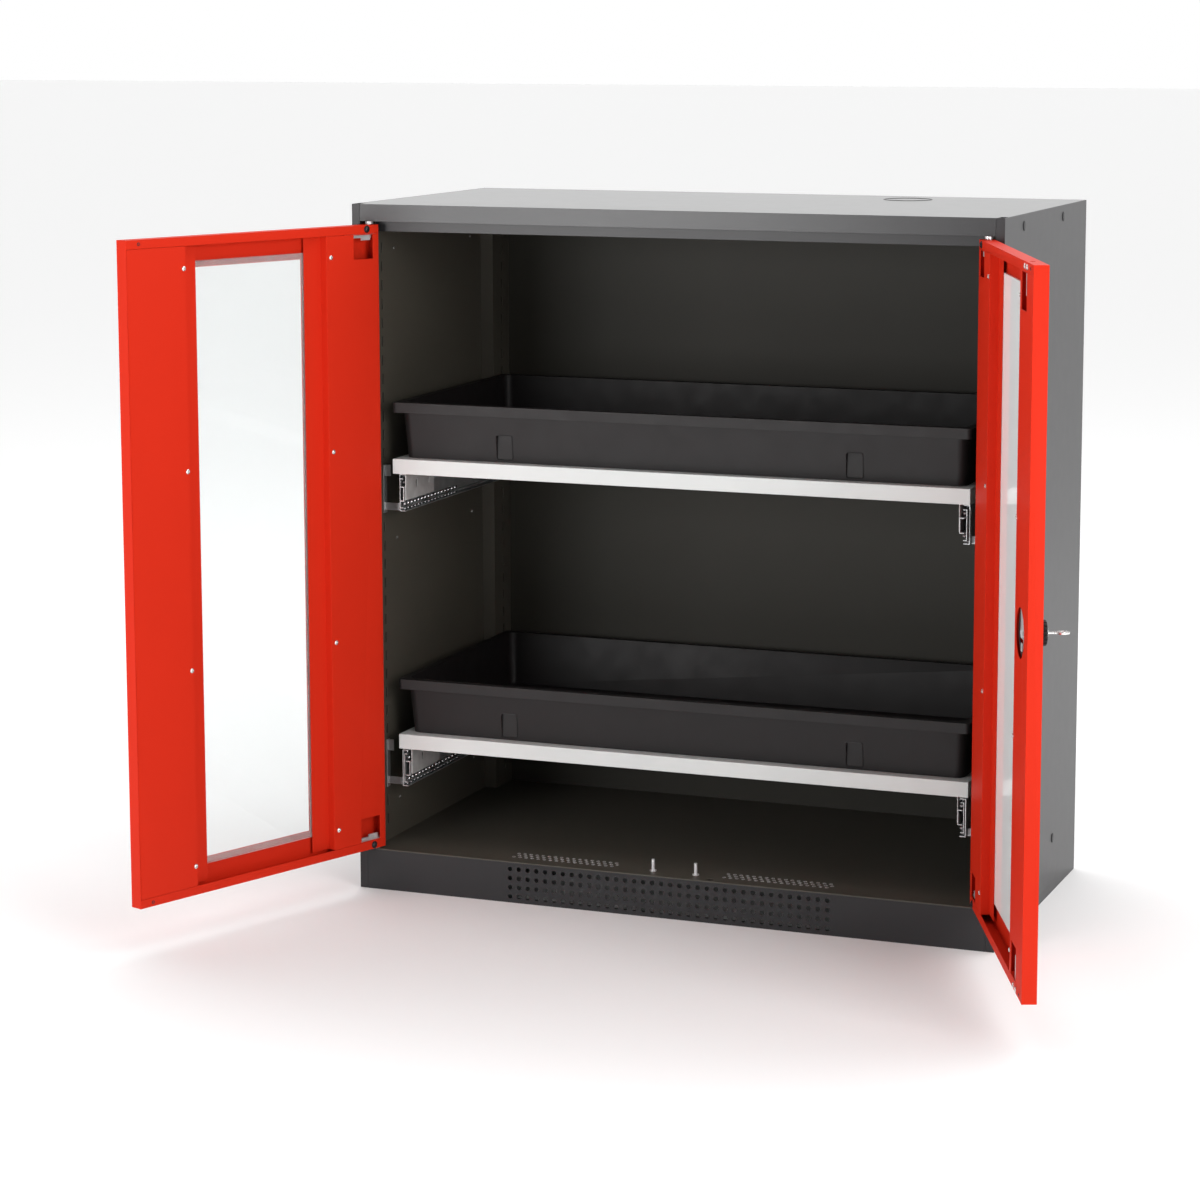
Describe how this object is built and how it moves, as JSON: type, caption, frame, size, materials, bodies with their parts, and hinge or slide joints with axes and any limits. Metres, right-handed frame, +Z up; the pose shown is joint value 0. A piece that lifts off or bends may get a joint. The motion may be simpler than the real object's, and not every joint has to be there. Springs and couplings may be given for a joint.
{
  "type": "storage cabinet",
  "caption": "Half-height steel safety cabinet with glazed double doors, a turn-knob rod lock and pull-out sump-tray shelves on ball slides, on a perforated plinth.",
  "frame": {"origin": "centre of the carcass footprint on the floor, on the underside of the base cross member", "axes": "+X to the right and +Y to the back as seen from the front, +Z up; the doors stand open at rest"},
  "size_m": [1.413, 0.982, 1.105],
  "materials": {
    "carcass_paint": "anthracite textured powder coat",
    "interior_paint": "anthracite powder coat inside",
    "door_paint": "traffic-red powder coat, semi-gloss",
    "shelf_paint": "light-grey powder coat",
    "tray_plastic": "black moulded polypropylene, fine grain",
    "zinc_plate": "zinc-plated steel",
    "nickel_plate": "nickel-plated lock parts",
    "rubber_seal": "clear silicone glazing tape",
    "knob_plastic": "black moulded knob",
    "safety_glass": "clear safety glass"
  },
  "bodies": {
    "carcass": {"base_cross_member": "carcass_paint", "left_side_panel": "carcass_paint", "left_inner_wall": "interior_paint", "left_rear_upright": "interior_paint", "left_upper_hinge_pin": "zinc_plate", "left_lower_hinge_pin": "zinc_plate", "left_door_stop_pin": "zinc_plate", "right_side_panel": "carcass_paint", "right_inner_wall": "interior_paint", "right_rear_upright": "interior_paint", "right_upper_hinge_pin": "zinc_plate", "right_lower_hinge_pin": "zinc_plate", "right_door_stop_pin": "zinc_plate", "top_panel": "carcass_paint", "inner_header": "carcass_paint", "back_panel": "interior_paint", "floor_panel": "interior_paint", "plinth": "carcass_paint", "upper_left_slide_fixed_member": "zinc_plate", "upper_right_slide_fixed_member": "zinc_plate", "lower_left_slide_fixed_member": "zinc_plate", "lower_right_slide_fixed_member": "zinc_plate"},
    "left_door": {"left_door_shell": "door_paint", "left_door_hinge_stiffener": "door_paint", "left_door_free_stiffener": "door_paint", "left_door_glass": "safety_glass", "left_door_glass_gasket": "rubber_seal", "left_door_upper_hinge_bracket": "zinc_plate", "left_door_lower_hinge_bracket": "zinc_plate"},
    "right_door": {"right_door_shell": "door_paint", "right_door_hinge_stiffener": "door_paint", "right_door_free_stiffener": "door_paint", "right_door_glass": "safety_glass", "right_door_glass_gasket": "rubber_seal", "right_door_upper_hinge_bracket": "zinc_plate", "right_door_lower_hinge_bracket": "zinc_plate", "lock_housing": "zinc_plate", "upper_rod_guide": "zinc_plate", "lower_rod_guide": "zinc_plate"},
    "turn_knob": {"turn_knob": "knob_plastic", "lock_cam": "zinc_plate"},
    "key_cylinder": {"lock_cylinder": "nickel_plate", "lock_key": "nickel_plate"},
    "upper_rod": {"upper_lock_rod": "zinc_plate"},
    "lower_rod": {"lower_lock_rod": "zinc_plate"},
    "upper_shelf": {"upper_shelf_frame": "shelf_paint", "upper_sump_tray": "tray_plastic", "upper_left_slide_drawer_member": "zinc_plate", "upper_right_slide_drawer_member": "zinc_plate"},
    "upper_left_middle_member": {"upper_left_slide_middle_member": "zinc_plate"},
    "upper_right_middle_member": {"upper_right_slide_middle_member": "zinc_plate"},
    "lower_shelf": {"lower_shelf_frame": "shelf_paint", "lower_sump_tray": "tray_plastic", "lower_left_slide_drawer_member": "zinc_plate", "lower_right_slide_drawer_member": "zinc_plate"},
    "lower_left_middle_member": {"lower_left_slide_middle_member": "zinc_plate"},
    "lower_right_middle_member": {"lower_right_slide_middle_member": "zinc_plate"}
  },
  "joints": [
    {"name": "left_door_hinge", "type": "hinge", "parent": "carcass", "child": "left_door", "pos_m": [-0.5015, -0.252, 0.57], "axis": [0, 0, 1], "range_deg": [-2.5, 111]},
    {"name": "right_door_hinge", "type": "hinge", "parent": "carcass", "child": "right_door", "pos_m": [0.5015, -0.252, 0.57], "axis": [0, 0, -1], "range_deg": [-0.5, 113]},
    {"name": "knob_turn", "type": "hinge", "parent": "right_door", "child": "turn_knob", "pos_m": [0.67785, -0.64699, 0.57], "axis": [-0.9205, -0.3907, 0], "range_deg": [0, 90.05]},
    {"name": "key_turn", "type": "hinge", "parent": "turn_knob", "child": "key_cylinder", "pos_m": [0.67785, -0.64699, 0.57], "axis": [-0.9205, -0.3907, 0], "range_deg": [0, 90]},
    {"name": "upper_rod_slide", "type": "slide", "parent": "right_door", "child": "upper_rod", "axis": [0, 0, 1], "range_m": [0, 0.013]},
    {"name": "lower_rod_slide", "type": "slide", "parent": "right_door", "child": "lower_rod", "axis": [0, 0, -1], "range_m": [0, 0.01301]},
    {"name": "upper_shelf_slide", "type": "slide", "parent": "carcass", "child": "upper_shelf", "axis": [0, 1, 0], "range_m": [-0.408, 0.012]},
    {"name": "lower_shelf_slide", "type": "slide", "parent": "carcass", "child": "lower_shelf", "axis": [0, 1, 0], "range_m": [-0.42, 0]},
    {"name": "upper_left_middle_slide", "type": "slide", "parent": "carcass", "child": "upper_left_middle_member", "axis": [0, 1, 0], "range_m": [-0.204, 0.006]},
    {"name": "upper_right_middle_slide", "type": "slide", "parent": "carcass", "child": "upper_right_middle_member", "axis": [0, 1, 0], "range_m": [-0.204, 0.006]},
    {"name": "lower_left_middle_slide", "type": "slide", "parent": "carcass", "child": "lower_left_middle_member", "axis": [0, 1, 0], "range_m": [-0.21, 0]},
    {"name": "lower_right_middle_slide", "type": "slide", "parent": "carcass", "child": "lower_right_middle_member", "axis": [0, 1, 0], "range_m": [-0.21, 0]}
  ],
  "couplings": [
    {"joint": "knob_turn", "follows": "upper_rod_slide", "rad_per_m": 120.83},
    {"joint": "lower_rod_slide", "follows": "upper_rod_slide", "ratio": 1},
    {"joint": "upper_left_middle_slide", "follows": "upper_shelf_slide", "ratio": 0.5},
    {"joint": "upper_right_middle_slide", "follows": "upper_shelf_slide", "ratio": 0.5},
    {"joint": "lower_left_middle_slide", "follows": "lower_shelf_slide", "ratio": 0.5},
    {"joint": "lower_right_middle_slide", "follows": "lower_shelf_slide", "ratio": 0.5}
  ]
}
